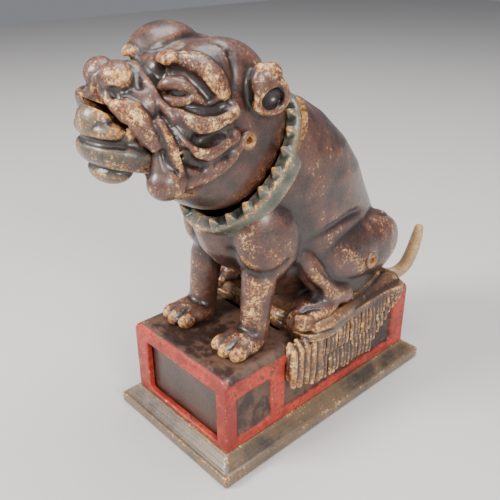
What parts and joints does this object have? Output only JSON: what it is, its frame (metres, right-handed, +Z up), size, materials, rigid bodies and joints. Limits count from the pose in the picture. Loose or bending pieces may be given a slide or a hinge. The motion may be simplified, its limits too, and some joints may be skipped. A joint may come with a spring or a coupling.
{
  "type": "mechanical coin bank",
  "caption": "Cast-iron mechanical coin bank: seated bulldog on a box pedestal whose tail lever nods the head and opens the jaw.",
  "frame": {"origin": "centre of the underside of the base plate", "axes": "+Z up, -Y the way the dog looks, +X the dog's left side"},
  "size_m": [0.082, 0.2018, 0.19],
  "materials": {
    "brown_iron": "old dark brown paint worn to tan and gold on the high edges",
    "olive_iron": "old olive paint worn on the edges",
    "panel_iron": "dark brown paint",
    "tan_iron": "paint worn to cream and tan",
    "steel": "aged wire and pin stock",
    "amber_glass": "glossy glass eye with a black pupil"
  },
  "bodies": {
    "body": {"body_left": "brown_iron", "body_right": "brown_iron", "base_plate": "olive_iron", "base_screw_1": "steel", "base_screw_2": "steel", "base_screw_3": "steel", "base_screw_4": "steel", "front_panel": "panel_iron", "haunch_pin": "steel", "jaw_stud": "steel", "return_spring": "steel"},
    "head": {"head_left": "brown_iron", "head_right": "brown_iron", "glass_eye_left": "amber_glass", "glass_eye_right": "amber_glass", "neck_pin": "steel", "jaw_pin": "steel"},
    "jaw": {"lower_jaw": "brown_iron"},
    "tail": {"tail_lever": "tan_iron", "link_pin": "steel"},
    "rod": {"link_rod": "steel"},
    "trap": {"trap_cover": "olive_iron", "trap_bar": "steel", "trap_rivet": "steel"}
  },
  "joints": [
    {"name": "head_nod", "type": "hinge", "parent": "body", "child": "head", "pos_m": [0, -0.042, 0.147], "axis": [1, 0, 0], "range_deg": [0, 20], "stiffness_Nm_per_rad": 1.6, "springref_deg": -20.05},
    {"name": "jaw_open", "type": "hinge", "parent": "head", "child": "jaw", "pos_m": [0, -0.06, 0.142], "axis": [1, 0, 0], "range_deg": [0, 12.6]},
    {"name": "tail_pull", "type": "hinge", "parent": "body", "child": "tail", "pos_m": [0, 0.0305, 0.0735], "axis": [1, 0, 0], "range_deg": [-15.5, 0], "deforming": ["return_spring"]},
    {"name": "rod_swing", "type": "hinge", "parent": "tail", "child": "rod", "pos_m": [0, 0.022, 0.101], "axis": [1, 0, 0], "range_deg": [0, 15.5]},
    {"name": "trap_turn", "type": "hinge", "parent": "body", "child": "trap", "pos_m": [0, 0.028, 0.0015], "axis": [0, 0, 1], "range_deg": [0, 90]}
  ],
  "couplings": [
    {"joint": "tail_pull", "follows": "head_nod", "ratio": -0.77},
    {"joint": "rod_swing", "follows": "head_nod", "ratio": 0.77},
    {"joint": "jaw_open", "follows": "head_nod", "ratio": 0.625}
  ]
}
